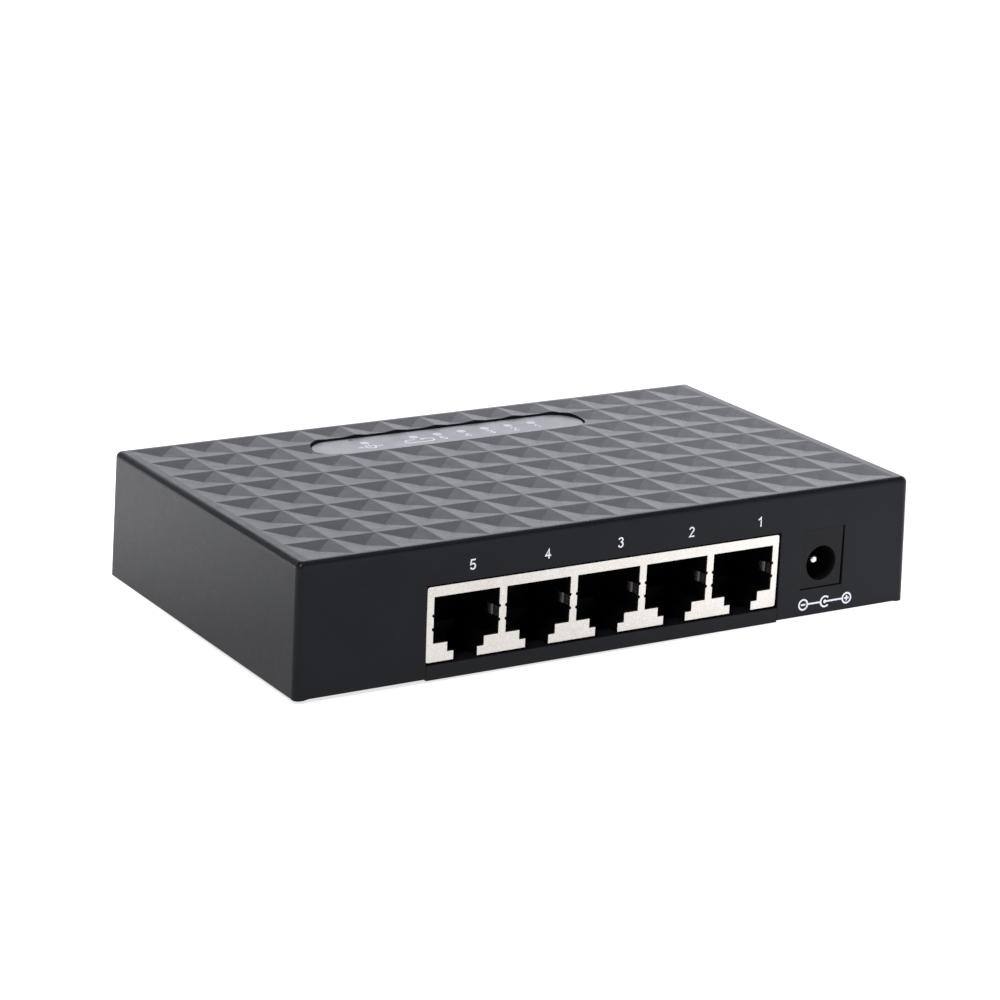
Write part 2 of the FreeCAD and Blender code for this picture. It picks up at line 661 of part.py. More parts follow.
SWITCH_CHIP_X = 2.0
SWITCH_CHIP_Y = 9.5
SWITCH_CHIP_SIDE = 12.0


def switch_chip():
    body = hanging_block(SWITCH_CHIP_X, SWITCH_CHIP_Y, SWITCH_CHIP_SIDE, SWITCH_CHIP_SIDE, 1.5)
    dot = drum(0.5, SWITCH_CHIP_X - 4.6, SWITCH_CHIP_Y + 4.6, BOARD_Z - 2.0, BOARD_Z - 1.4)
    return body.cut(dot)


def switch_chip_pins():
    half = SWITCH_CHIP_SIDE / 2
    pins = []
    for outward in (-1, 1):
        pins += pin_row(SWITCH_CHIP_X, SWITCH_CHIP_Y + outward * half, 12, 0.9, True, outward, 1.0)
        pins += pin_row(SWITCH_CHIP_X + outward * half, SWITCH_CHIP_Y, 12, 0.9, False, outward, 1.0)
    return pins


def crystal():
    can = pill(11.2, 4.6, BOARD_Z - 3.4, BOARD_Z - 0.3, -17.0, 9.5)
    rim = [e for e in can.Edges if e.BoundBox.ZMax < BOARD_Z - 3.39]
    can = can.makeFillet(0.4, rim)
    flange = pill(12.0, 5.2, BOARD_Z - 0.4, BOARD_Z, -17.0, 9.5)
    return union([can, flange])


def capacitor(x, y, radius, height):
    """Aluminium electrolytic can on a square base."""
    base = block(x - radius - 0.2, x + radius + 0.2, y - radius - 0.2, y + radius + 0.2,
                 BOARD_Z - 0.8, BOARD_Z)
    can = drum(radius, x, y, BOARD_Z - height, BOARD_Z - 0.4)
    rim = [e for e in can.Edges if e.BoundBox.ZMax < BOARD_Z - height + 0.01]
    can = can.makeFillet(0.4, rim)
    return union([base, can])


def power_inductor():
    body = rounded_slab(3.3, 3.3, 0.8, BOARD_Z - 3.0, BOARD_Z, 38.5, 12.0)
    dish = drum(2.4, 38.5, 12.0, BOARD_Z - 4, BOARD_Z - 2.7)
    return body.cut(dish)


def buck_regulator():
    body = hanging_block(30.5, 2.0, 2.9, 1.6, 1.1)
    solids = [body]
    for outward in (-1, 1):
        solids += pin_row(30.5, 2.0 + outward * 0.8, 3, 0.95, True, outward, 0.55)
    return solids


def protection_diode():
    body = hanging_block(37.0, -15.5, 4.3, 2.7, 2.2, 0.3)
    ends = [block(34.35, 34.85, -16.2, -14.8, BOARD_Z - 0.5, BOARD_Z),
            block(39.15, 39.65, -16.2, -14.8, BOARD_Z - 0.5, BOARD_Z)]
    return [body] + ends


def chip_parts(places, length, width, height):
    """Small two-ended surface parts."""
    return [hanging_block(x, y, length, width, height, 0.08) for x, y in places]


def indicator_led(step):
    """Surface LED on the board's upper side, under its light well."""
    x = led_x(step)
    body = block(x - 0.8, x + 0.8, LED_Y - 0.4, LED_Y + 0.4, BOARD_TOP, BOARD_TOP + 0.3)
    lens = block(x - 0.5, x + 0.5, LED_Y - 0.4, LED_Y + 0.4, BOARD_TOP + 0.2, BOARD_TOP + 0.65)
    lens = lens.makeChamfer(0.1, [e for e in lens.Edges if e.BoundBox.ZMin > BOARD_TOP + 0.64])
    return union([body, lens])


# ------------------------------------------------------------------- assembly

def main():
    os.makedirs("parts", exist_ok=True)
    outside = outer_block()
    save("top_cover", top_cover(outside))
    save("bottom_cover", bottom_cover(outside))
    save("indicator_label", indicator_label())

    side_names = {-1: "left", 1: "right"}
    end_names = {-1: "front", 1: "back"}
    for sx in (-1, 1):
        for sy in (-1, 1):
            name = "foot_" + end_names[sy] + "_" + side_names[sx]
            save(name, rubber_foot(sx * FOOT_X, sy * FOOT_Y))
    save("case_screws", [screw(x, y, BASE_Z + 1.6, 2.2, 1.2, 9.0)
                         for x, y in corners(CASE_SCREW_X, CASE_SCREW_Y)])
    save("board_screws", [screw(x, y, BOARD_Z, 2.1, 1.1, 4.0) for x, y in BOARD_SCREWS])

    ports = range(1, PORT_COUNT + 1)
    leads = [contact_lead(port, index) for port in ports for index in range(CONTACT_COUNT)]
    save("contact_leads", leads)
    save("jack_housing", jack_housing(leads))
    save("jack_shield", jack_shield())
    for port in ports:
        save("contact_springs_" + str(port),
             [contact_spring(port, index) for index in range(CONTACT_COUNT)])

    save("dc_jack_body", dc_jack_body())
    save("dc_jack_pin", dc_jack_pin())
    save("dc_jack_spring", dc_jack_spring())
    save("dc_jack_terminals", dc_jack_terminals())

    save("circuit_board", circuit_board())
    for port in ports:
        save("port_transformer_" + str(port), port_transformer(port))
    save("switch_chip", switch_chip())
    save("switch_chip_pins", switch_chip_pins())
    save("crystal", crystal())
    save("input_capacitor", capacitor(39.0, -3.5, 3.15, 5.8))
    save("output_capacitor", capacitor(27.5, 12.0, 2.5, 5.4))
    save("power_inductor", power_inductor())
    save("buck_regulator", buck_regulator())
    save("protection_diode", protection_diode())
    resistors = [(-34.0 + 4.2 * index, 1.0) for index in range(8)]
    save("chip_resistors", chip_parts(resistors, 1.6, 0.8, 0.45))
    bypass = [(SWITCH_CHIP_X - 5.0 + 2.5 * index, 19.0) for index in range(5)]
    bypass += [(33.0, 6.0), (24.0, 6.0), (14.0, 4.0), (14.0, 14.0)]
    save("chip_capacitors", chip_parts(bypass, 1.6, 0.8, 0.8))
    for step, name in zip(LED_STEPS, LED_NAMES):
        save("led_" + name, indicator_led(step))


main()
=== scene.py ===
import json
import math

import bmesh
import bpy
from mathutils import Matrix, Vector


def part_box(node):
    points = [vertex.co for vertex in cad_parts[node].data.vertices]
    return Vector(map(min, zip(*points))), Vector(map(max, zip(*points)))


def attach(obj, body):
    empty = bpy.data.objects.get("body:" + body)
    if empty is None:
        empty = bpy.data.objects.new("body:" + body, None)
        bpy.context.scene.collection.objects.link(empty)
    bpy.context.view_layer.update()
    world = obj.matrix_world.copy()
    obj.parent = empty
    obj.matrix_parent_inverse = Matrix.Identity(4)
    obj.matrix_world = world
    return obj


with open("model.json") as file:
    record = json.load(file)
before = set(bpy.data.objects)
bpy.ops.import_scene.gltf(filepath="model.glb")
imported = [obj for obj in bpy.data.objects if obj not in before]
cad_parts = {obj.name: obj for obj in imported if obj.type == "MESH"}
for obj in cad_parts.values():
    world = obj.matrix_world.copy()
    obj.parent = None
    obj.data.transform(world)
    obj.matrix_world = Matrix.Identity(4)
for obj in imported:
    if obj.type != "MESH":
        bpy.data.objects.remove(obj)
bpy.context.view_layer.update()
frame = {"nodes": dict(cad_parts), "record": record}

# Desktop network switch: finishes for the CAD nodes, the printed marks, and the studio.
# The socket row faces -Y, and +X is to the right as seen from there.

MM = 0.001
CASE = "case"                          # the body that all the prints ride on

# Places read from the frame, in metres.
CASE_LOW, CASE_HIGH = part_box("top_cover")
INLET_LOW, INLET_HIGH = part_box("dc_jack_body")
LABEL_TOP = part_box("indicator_label")[1].z
SHIELD_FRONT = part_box("jack_shield")[0].y
ROOF_Z = CASE_HIGH.z
DRAFT = 0.54 * MM                      # the socket-side wall leans out this much at its foot
WALL_SLOPE = DRAFT / (ROOF_Z - CASE_LOW.z)


# ------------------------------------------------------------------ small tools

def link(obj):
    """Puts a new object into the scene."""
    bpy.context.scene.collection.objects.link(obj)
    return obj


def mesh_object(name, bm, material):
    """Turns a bmesh into a linked object with one material."""
    mesh = bpy.data.meshes.new(name)
    bm.normal_update()
    bm.to_mesh(mesh)
    bm.free()
    mesh.materials.append(material)
    return link(bpy.data.objects.new(name, mesh))


def port_x(port):
    """Centre of a socket in X; the contact springs of each socket are centred on it."""
    low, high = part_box("contact_springs_%d" % port)
    return (low.x + high.x) / 2


def wall_y(z):
    """Face of the drafted socket-side wall at height z."""
    return CASE_LOW.y + (z - CASE_LOW.z) * WALL_SLOPE


# -------------------------------------------------------------------- materials

NOISE_LOW = 0.3                        # nearly all of a noise pattern lies between these,
NOISE_HIGH = 0.7
MOTTLE_LOW = 0.35                      # and most of it between these
MOTTLE_HIGH = 0.65
EDGE_SAMPLES = 6

# Base colours, linear.
CASE_BLACK = (0.0060, 0.0064, 0.0084)
INLET_BLACK = (0.0058, 0.0061, 0.0078)
# Painted shade: the inlet's bore goes this dark with depth behind its face.
BORE_PAINTED_SHADE = (0.0008, 0.0008, 0.0009)
# Black socket plastic, partly painted shade: kept far darker than the case so the sockets'
# insides look shaded.
SOCKET_BLACK_AND_SHADE = (0.0012, 0.0012, 0.0013)
FILM_DARK = (0.188, 0.192, 0.203)
FILM_GREY = (0.21, 0.214, 0.226)
FILM_PALE = (0.236, 0.24, 0.251)
TIN_DARK = (0.6, 0.565, 0.518)
TIN_PALE = (0.73, 0.69, 0.645)
TIN_CLOUD = (0.6, 0.555, 0.5)
# Painted shade for the tin behind the front sheet, inside the sockets.
TIN_PAINTED_SHADE = (0.17, 0.162, 0.15)
SCREW_ZINC = (0.52, 0.52, 0.54)
CONTACT_GOLD = (0.86, 0.62, 0.24)
INLET_NICKEL = (0.78, 0.77, 0.75)
PIN_TIN = (0.72, 0.72, 0.71)
CRYSTAL_STEEL = (0.66, 0.65, 0.63)
CAPACITOR_CAN = (0.74, 0.75, 0.77)
RESISTOR_BLACK = (0.03, 0.03, 0.034)
CAPACITOR_BROWN = (0.42, 0.3, 0.18)
SOCKET_INK = (0.76, 0.79, 0.84)
LEGEND_INK = (0.8, 0.82, 0.88)
WINDOW_INK = (0.66, 0.68, 0.74)


def tinted(colour, factor, lift=0.0):
    """The same colour, lighter or darker by a factor, and never over 1."""
    return tuple(min(1.0, c * factor + lift) for c in colour)


class Nodes:
    """Short way to build one node material round a Principled shader.

    Noise sizes, bump depths and edge radii are in millimetres.
    """

    def __init__(self, name, colour, roughness, metallic=0.0, specular=0.5):
        self.material = bpy.data.materials.new(name)
        self.material.use_nodes = True
        self.tree = self.material.node_tree
        self.shader = self.tree.nodes["Principled BSDF"]
        self.set("Base Color", (*colour, 1.0))
        self.set("Roughness", roughness)
        self.set("Metallic", metallic)
        self.set("Specular IOR Level", specular)
        self.place = self.add("ShaderNodeTexCoord").outputs["Object"]
        self.normal = None

    def add(self, kind, **settings):
        node = self.tree.nodes.new(kind)
        for key, value in settings.items():
            setattr(node, key, value)
        return node

    def set(self, socket, value):
        self.shader.inputs[socket].default_value = value

    def join(self, source, target):
        self.tree.links.new(source, target)

    def stretched(self, scale):
        """The object's coordinates with each axis scaled, for brushed or rolled grain."""
        node = self.add("ShaderNodeMapping")
        node.inputs["Scale"].default_value = scale
        self.join(self.place, node.inputs["Vector"])
        return node.outputs["Vector"]

    def noise(self, size_mm, detail=2.0, roughness=0.5, place=None):
        """Noise whose features are about size_mm across."""
        node = self.add("ShaderNodeTexNoise")
        node.inputs["Scale"].default_value = 1.0 / (size_mm * MM)
        node.inputs["Detail"].default_value = detail
        node.inputs["Roughness"].default_value = roughness
        self.join(place or self.place, node.inputs["Vector"])
        return node.outputs["Fac"]

    def split(self):
        """The object's coordinates as one node with outputs X, Y and Z."""
        node = self.add("ShaderNodeSeparateXYZ")
        self.join(self.place, node.inputs["Vector"])
        return node.outputs

    def spread(self, value, low, high, out_low=0.0, out_high=1.0):
        """Maps a value from one range to another, clamped."""
        node = self.add("ShaderNodeMapRange")
        node.inputs["From Min"].default_value = low
        node.inputs["From Max"].default_value = high
        node.inputs["To Min"].default_value = out_low
        node.inputs["To Max"].default_value = out_high
        self.join(value, node.inputs["Value"])
        return node.outputs["Result"]

    def behind(self, face_y, start_mm, full_mm):
        """0 up to start_mm behind a face that looks to -Y, and 1 from full_mm behind it."""
        return self.spread(self.split()["Y"], face_y + start_mm * MM, face_y + full_mm * MM)

    def blend(self, factor, first, second):
        """Colour mix; first and second are colours or sockets."""
        node = self.add("ShaderNodeMix", data_type="RGBA")
        self.join(factor, node.inputs["Factor"])
        colours = [s for s in node.inputs if s.type == "RGBA"]
        for socket, value in zip(colours, (first, second)):
            if isinstance(value, tuple):
                socket.default_value = (*value, 1.0)
            else:
                self.join(value, socket)
        return next(s for s in node.outputs if s.type == "RGBA")

    def maths(self, operation, first, second):
        node = self.add("ShaderNodeMath", operation=operation)
        self.join(first, node.inputs[0])
        self.join(second, node.inputs[1])
        return node.outputs[0]

    def multiply(self, first, second):
        return self.maths("MULTIPLY", first, second)

    def add_up(self, first, second):
        return self.maths("ADD", first, second)

    def colour(self, socket):
        self.join(socket, self.shader.inputs["Base Color"])

    def mottle(self, pattern, first, second, low=MOTTLE_LOW, high=MOTTLE_HIGH):
        """Colours the surface from first to second as the pattern goes from low to high."""
        self.colour(self.blend(self.spread(pattern, low, high), first, second))

    def rough(self, pattern, smooth, dull, low=NOISE_LOW, high=NOISE_HIGH):
        """Roughness from smooth to dull as the pattern goes from low to high."""
        self.join(self.spread(pattern, low, high, smooth, dull),
                  self.shader.inputs["Roughness"])

    def round_edges(self, radius_mm):
        """Shades sharp edges as if they had this radius."""
        node = self.add("ShaderNodeBevel")
        node.samples = EDGE_SAMPLES
        node.inputs["Radius"].default_value = radius_mm * MM
        self.normal = node.outputs["Normal"]
        self.join(self.normal, self.shader.inputs["Normal"])

    def bump(self, height, depth_mm):
        """Adds fine relief on top of the rounded edges and any relief before it."""
        node = self.add("ShaderNodeBump")
        node.inputs["Distance"].default_value = depth_mm * MM
        node.inputs["Strength"].default_value = 1.0
        self.join(height, node.inputs["Height"])
        if self.normal:
            self.join(self.normal, node.inputs["Normal"])
        self.normal = node.outputs["Normal"]
        self.join(self.normal, self.shader.inputs["Normal"])


def moulded_plastic(name, colour, roughness, specular, grain_mm, grain_depth_mm, edge_mm):
    """Spark-textured moulding: fine grain over a coarser one, faint cloudy sheen, soft edges."""
    m = Nodes(name, colour, roughness, specular=specular)
    m.mottle(m.noise(9.0, 3.0), colour, tinted(colour, 1.2, 0.0005), high=0.7)
    m.rough(m.noise(2.2, 4.0), roughness - 0.03, roughness + 0.03)
    m.round_edges(edge_mm)
    m.bump(m.noise(grain_mm * 2.4, 1.0), grain_depth_mm * 0.5)
    m.bump(m.noise(grain_mm, 1.0), grain_depth_mm)
    return m.material


def inlet_plastic():
    """Moulded plastic whose bore, behind the face, is left rough, with painted shade turning it
    near-black.
    """
    face_roughness = 0.28
    m = Nodes("inlet_plastic", INLET_BLACK, face_roughness, specular=0.12)
    # Painted shade: the colour darkens to near-black with depth inside the bore, where shade
    # falls; the same mask raises the roughness.
    bore = m.behind(INLET_LOW.y, 0.25, 0.9)
    m.colour(m.blend(bore, INLET_BLACK, BORE_PAINTED_SHADE))
    m.rough(bore, face_roughness, 1.0, low=0.0, high=1.0)
    m.round_edges(0.06)
    m.bump(m.noise(0.2, 2.0), 0.012)
    return m.material


def label_film():
    """Satin film with a fine printed grain."""
    m = Nodes("label_film", FILM_GREY, 0.36, specular=0.3)
    grain = m.noise(0.3, 2.0)
    m.mottle(grain, FILM_DARK, FILM_PALE, NOISE_LOW, NOISE_HIGH)
    m.rough(m.noise(3.0, 3.0), 0.32, 0.4)
    m.round_edges(0.1)
    m.bump(grain, 0.01)
    return m.material


def print_ink(name, colour):
    """Pad-printed ink: slightly uneven cover, faintly raised."""
    m = Nodes(name, colour, 0.55, specular=0.4)
    m.mottle(m.noise(0.25, 4.0), tinted(colour, 0.84), colour, high=0.6)
    m.rough(m.noise(0.5, 2.0), 0.5, 0.62)
    m.bump(m.noise(0.12, 2.0), 0.004)
    return m.material


def rolled_tin():
    """Tin plate: fine crystal mottle and rolled grain; behind the front sheet, inside the
    sockets, rougher and darkened with painted shade.
    """
    m = Nodes("shield_tin", TIN_PALE, 0.28, metallic=1.0)
    crystals = m.noise(0.32, 3.0, 0.7)
    tone = m.blend(m.spread(crystals, MOTTLE_LOW, MOTTLE_HIGH), TIN_DARK, TIN_PALE)
    clouded = m.blend(m.spread(m.noise(3.5, 3.0), 0.45, 0.75, 0.0, 0.5), tone, TIN_CLOUD)
    # Painted shade: behind the front sheet, inside the sockets, the tin darkens where shade
    # falls; the same mask also raises its roughness.
    inside = m.behind(SHIELD_FRONT, 0.4, 1.2)
    m.colour(m.blend(inside, clouded, TIN_PAINTED_SHADE))
    rough = m.add_up(m.spread(crystals, NOISE_LOW, NOISE_HIGH, 0.22, 0.34),
                     m.spread(inside, 0.0, 1.0, 0.0, 0.22))
    m.join(rough, m.shader.inputs["Roughness"])
    m.round_edges(0.09)
    m.bump(m.noise(0.5, 2.0, place=m.stretched((0.3, 1.0, 1.0))), 0.006)
    m.bump(crystals, 0.008)
    return m.material


def plated(name, colour, roughness):
    """Plated metal with slightly duller specks of wear."""
    m = Nodes(name, colour, roughness, metallic=1.0)
    wear = m.noise(0.4, 4.0, 0.6)
    m.mottle(wear, tinted(colour, 0.86), colour)
    m.rough(m.noise(0.8, 3.0), roughness * 0.8, roughness * 1.3)
    m.round_edges(0.05)
    m.bump(wear, 0.003)
    return m.material


def rubber():
    """Matt black rubber with patches of pale dust."""
    black = (0.018, 0.018, 0.019)
    dusty = (0.05, 0.049, 0.047)
    m = Nodes("foot_rubber", black, 0.78, specular=0.35)
    m.mottle(m.noise(1.4, 5.0, 0.7), black, dusty, 0.5, 0.75)
    m.rough(m.noise(0.7, 3.0), 0.7, 0.86)
    m.round_edges(0.12)
    m.bump(m.noise(0.2, 3.0), 0.012)
    return m.material


def epoxy():
    """Matt chip moulding with fine paler specks."""
    black = (0.014, 0.014, 0.015)
    speck = (0.035, 0.035, 0.036)
    m = Nodes("chip_epoxy", black, 0.6, specular=0.4)
    m.mottle(m.noise(0.12, 2.0), black, speck, 0.45, 0.62)
    m.rough(m.noise(0.6, 3.0), 0.52, 0.68)
    m.round_edges(0.08)
    m.bump(m.noise(0.08, 2.0), 0.006)
    return m.material


def solder_mask():
    """Green solder mask with copper runs showing through as paler, raised lines."""
    green = (0.012, 0.095, 0.04)
    over_copper = (0.03, 0.19, 0.075)
    m = Nodes("board_laminate", green, 0.3)
    bricks = m.add("ShaderNodeTexBrick", offset=0.37, squash=0.6, squash_frequency=3)
    bricks.inputs["Scale"].default_value = 1.0 / (5.0 * MM)
    bricks.inputs["Mortar Size"].default_value = 0.035
    bricks.inputs["Mortar Smooth"].default_value = 0.3
    m.join(m.place, bricks.inputs["Vector"])
    runs = bricks.outputs["Fac"]
    m.colour(m.blend(runs, green, over_copper))
    m.rough(m.noise(1.5, 3.0), 0.25, 0.38)
    m.round_edges(0.06)
    m.bump(runs, 0.03)
    return m.material


def ferrite():
    """Ground ferrite, speckled from dark to mid grey."""
    dark = (0.05, 0.05, 0.055)
    pale = (0.1, 0.1, 0.105)
    m = Nodes("ferrite", dark, 0.62, specular=0.4)
    m.mottle(m.noise(0.3, 4.0), dark, pale)
    m.rough(m.noise(0.4, 3.0), 0.55, 0.72)
    m.round_edges(0.1)
    m.bump(m.noise(0.15, 3.0), 0.012)
    return m.material


def fired(name, colour):
    """Fired ceramic of the small chip resistors and capacitors."""
    m = Nodes(name, colour, 0.45)
    m.mottle(m.noise(0.15, 3.0), colour, tinted(colour, 1.3))
    m.rough(m.noise(0.3, 2.0), 0.38, 0.52)
    m.round_edges(0.05)
    m.bump(m.noise(0.1, 2.0), 0.004)
    return m.material


def led_resin():
    """Milky resin that lets a little light in."""
    milky = (0.74, 0.75, 0.69)
    clear = (0.86, 0.87, 0.82)
    m = Nodes("led_resin", clear, 0.22)
    m.set("Subsurface Weight", 0.2)
    m.set("Subsurface Scale", 0.4 * MM)
    m.mottle(m.noise(0.2, 3.0), milky, clear)
    m.rough(m.noise(0.3, 2.0), 0.18, 0.28)
    m.round_edges(0.05)
    return m.material


def make_materials():
    """One material for each material slot of the record."""
    return {
        "case_plastic": moulded_plastic("case_plastic", CASE_BLACK, roughness=0.29, specular=0.12,
                                        grain_mm=0.17, grain_depth_mm=0.011, edge_mm=0.12),
        "inlet_plastic": inlet_plastic(),
        "socket_plastic": moulded_plastic("socket_plastic", SOCKET_BLACK_AND_SHADE, roughness=0.5,
                                          specular=0.08, grain_mm=0.25, grain_depth_mm=0.006,
                                          edge_mm=0.06),
        "label_film": label_film(),
        "foot_rubber": rubber(),
        "screw_steel": plated("screw_steel", SCREW_ZINC, 0.32),
        "contact_gold": plated("contact_gold", CONTACT_GOLD, 0.2),
        "shield_tin": rolled_tin(),
        "inlet_nickel": plated("inlet_nickel", INLET_NICKEL, 0.16),
        "board_laminate": solder_mask(),
        "chip_epoxy": epoxy(),
        "pin_tin": plated("pin_tin", PIN_TIN, 0.3),
        "crystal_can": plated("crystal_can", CRYSTAL_STEEL, 0.28),
        "capacitor_can": plated("capacitor_can", CAPACITOR_CAN, 0.35),
        "ferrite": ferrite(),
        "resistor_film": fired("resistor_film", RESISTOR_BLACK),
        "capacitor_ceramic": fired("capacitor_ceramic", CAPACITOR_BROWN),
        "led_resin": led_resin(),
    }


def dress_frame(materials):
    """Gives each CAD node the material of its slot in the record."""
    for part in frame["record"]["subparts"]:
        mesh = frame["nodes"][part["node"]].data
        mesh.materials.clear()
        mesh.materials.append(materials[part["material_slot"]])


# --------------------------------------------------------------- printed marks

PRINT_THICKNESS = 0.02 * MM
WALL_PRINT_LIFT = 0.012 * MM           # the prints on the wall stand this far off it
LABEL_PRINT_SINK = 0.004 * MM          # the prints on the film start this far inside it


def flat_piece(name, bm, matrix, material):
    """Extrudes flat faces into a thin print, puts it in place and makes it ride the case."""
    faces = list(bm.faces)
    raised = bmesh.ops.extrude_face_region(bm, geom=faces)["geom"]
    top = [v for v in raised if isinstance(v, bmesh.types.BMVert)]
    bmesh.ops.translate(bm, verts=top, vec=(0, 0, PRINT_THICKNESS))
    bmesh.ops.recalc_face_normals(bm, faces=bm.faces)
    bm.transform(matrix)
    piece = mesh_object(name, bm, material)
    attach(piece, CASE)
    return piece


NUMERAL_WIDTH = 0.14                   # of the pen, as a part of the numeral's height


def arc_points(x, y, radius_x, radius_y, start, end, steps=10):
    """Points along part of an ellipse; angles in degrees."""
    points = []
    for i in range(steps + 1):
        a = math.radians(start + (end - start) * i / steps)
        points.append((x + radius_x * math.cos(a), y + radius_y * math.sin(a)))
    return points


def numeral_paths(text):
    """Pen paths of a numeral 1 unit high: x from its middle to the right, y up from its foot."""
    foot = NUMERAL_WIDTH / 2
    top = 1 - foot
    if text == "1":
        return [[(-0.26, 0.7), (-0.06, 0.8), (0.05, top), (0.05, 0.0)]]
    if text == "2":
        bowl = arc_points(0, 0.72, 0.235, top - 0.72, 170, -35)
        return [bowl + [(-0.22, foot), (0.31, foot)]]
    if text == "3":
        upper = arc_points(-0.01, 0.745, 0.215, top - 0.745, 165, -75)
        lower = arc_points(-0.01, 0.3, 0.245, 0.3 - foot, 75, -165)
        return [upper + lower]
    if text == "4":
        return [[(0.34, 0.29), (-0.24, 0.29), (0.12, 0.88), (0.12, 0.29 + foot)],
                [(0.12, 0.29 - foot), (0.12, 0.0)]]
    # What is left is 5: its flag and neck, then its bowl.
    bowl = arc_points(-0.01, 0.325, 0.25, 0.325 - foot, 120, -160, 14)
    return [[(0.26, top), (-0.17, top), (-0.24, 0.5)] + bowl]


MITRE_LIMIT = 0.55                     # keeps a sharp corner from running out to a spike


def add_stroke(bm, points, width):
    """Flat ribbon of one width along a path, with mitred corners."""
    points = [Vector(p) for p in points]
    rims = []
    # At a corner the ribbon's two edges stand further apart, so that both runs keep their width.
    for i, point in enumerate(points):
        before = (point - points[i - 1]).normalized() if i else None
        after = (points[i + 1] - point).normalized() if i + 1 < len(points) else None
        along = ((before or after) + (after or before)).normalized()
        across = Vector((-along.y, along.x))
        side = (after or before).orthogonal()
        reach = width / 2 / max(MITRE_LIMIT, abs(across.dot(side)))
        rims.append([bm.verts.new((*(point + across * reach * k), 0)) for k in (-1, 1)])
    for (a, b), (c, d) in zip(rims, rims[1:]):
        bm.faces.new((a, c, d, b))


def glyph_faces(text, height):
    """Flat faces of a numeral of the given height, centred on the origin."""
    bm = bmesh.new()
    for path in numeral_paths(text):
        add_stroke(bm, [(x * height, (y - 0.5) * height) for x, y in path],
                   NUMERAL_WIDTH * height)
    return bm


DEGREES_A_STEP = 7.5                   # length of one facet of an arc


def add_arc(bm, x, y, radius, start, end, width):
    """Part of a flat ring; angles in degrees."""
    steps = int(abs(end - start) / DEGREES_A_STEP)
    closed = abs(end - start) >= 360
    rows = []
    for i in range(steps if closed else steps + 1):
        a = math.radians(start + (end - start) * i / steps)
        rows.append([bm.verts.new((x + r * math.cos(a), y + r * math.sin(a), 0))
                     for r in (radius - width / 2, radius + width / 2)])
    pairs = list(zip(rows, rows[1:]))
    if closed:
        pairs.append((rows[-1], rows[0]))
    for (a, b), (c, d) in pairs:
        bm.faces.new((a, b, d, c))


def add_disc(bm, radius, sides=40):
    """Flat disc round the origin."""
    turns = [2 * math.pi * i / sides for i in range(sides)]
    bm.faces.new([bm.verts.new((radius * math.cos(a), radius * math.sin(a), 0)) for a in turns])


def add_bar(bm, start, end, width):
    """Straight stroke between two points."""
    a = Vector((*start, 0))
    b = Vector((*end, 0))
    side = (b - a).normalized().cross(Vector((0, 0, 1))) * width / 2
    bm.faces.new([bm.verts.new(p) for p in (a - side, b - side, b + side, a + side)])


def wall_frame(x, z):
    """Places flat drawings on the socket-side wall, facing outwards."""
    lean = math.atan(WALL_SLOPE)
    turn = Matrix.Rotation(math.pi / 2 - lean, 4, "X")
    return Matrix.Translation((x, wall_y(z) + WALL_PRINT_LIFT, z)) @ turn


def label_frame(x, y):
    """Places flat drawings on the indicator film, facing up."""
    return Matrix.Translation((x, y, LABEL_TOP - LABEL_PRINT_SINK))


SOCKETS = 5
SOCKET_MARK_HEIGHT = 1.85 * MM
SOCKET_MARK_Z = ROOF_Z - 4.33 * MM
SOCKET_MARK_LEAD = 0.78 * MM           # mark 5 stands this far right of its socket's middle
SOCKET_MARK_DRIFT = 0.6 * MM           # and each mark after it this much further


def print_socket_marks(ink):
    """The number of each socket, above it."""
    for port in range(1, SOCKETS + 1):
        x = port_x(port) + SOCKET_MARK_LEAD + SOCKET_MARK_DRIFT * (SOCKETS - port)
        flat_piece("print_socket_%d" % port, glyph_faces(str(port), SOCKET_MARK_HEIGHT),
                   wall_frame(x, SOCKET_MARK_Z), ink)


POLARITY_DROP = 2.9 * MM               # the symbol stands this far below the inlet
POLARITY_SHIFT = 1.3 * MM              # and this far right of its middle


def print_polarity_mark(ink):
    """Centre-positive symbol under the power inlet, in place of a rating."""
    stroke = 0.32 * MM
    reach = 4.8 * MM                   # from the middle to each sign
    ring = 0.92 * MM                   # radius of the ring round a sign
    arm = 0.5 * MM                     # half the length of a sign's bar
    cup = 0.95 * MM                    # radius of the open ring in the middle
    dot = 0.34 * MM
    bm = bmesh.new()
    for side in (-1, 1):
        add_arc(bm, side * reach, 0, ring, 0, 360, stroke)
        add_bar(bm, (side * reach - arm, 0), (side * reach + arm, 0), stroke)
    add_bar(bm, (reach, -arm), (reach, -stroke / 2), stroke)
    add_bar(bm, (reach, stroke / 2), (reach, arm), stroke)
    add_arc(bm, 0, 0, cup, 45, 315, stroke)
    add_disc(bm, dot)
    add_bar(bm, (-reach + ring + stroke / 2, 0), (-cup - stroke / 2, 0), stroke)
    add_bar(bm, (dot, 0), (reach - ring - stroke / 2, 0), stroke)
    x = (INLET_LOW.x + INLET_HIGH.x) / 2 + POLARITY_SHIFT
    z = INLET_LOW.z - POLARITY_DROP
    flat_piece("print_polarity", bm, wall_frame(x, z), ink)


INDICATORS = ("power", "loop", "port_5", "port_4", "port_3", "port_2", "port_1")
WINDOW_RADIUS = 0.88 * MM
LEGEND_HEIGHT = 2.1 * MM
LEGEND_STROKE = 0.36 * MM
LEGEND_OFFSET = 2.45 * MM              # legends stand this far in front of the windows


def power_legend():
    """Broken ring with a bar in its gap, between two dashes."""
    ring = 0.95 * MM
    bar_foot = 0.05 * MM
    bar_top = 1.2 * MM
    dash_start = 1.45 * MM
    dash_end = 2.5 * MM
    bm = bmesh.new()
    add_stroke(bm, arc_points(0, 0, ring, ring, 128, 412, 24), LEGEND_STROKE)
    add_bar(bm, (0, bar_foot), (0, bar_top), LEGEND_STROKE)
    for side in (-1, 1):
        add_bar(bm, (side * dash_start, 0), (side * dash_end, 0), LEGEND_STROKE)
    return bm


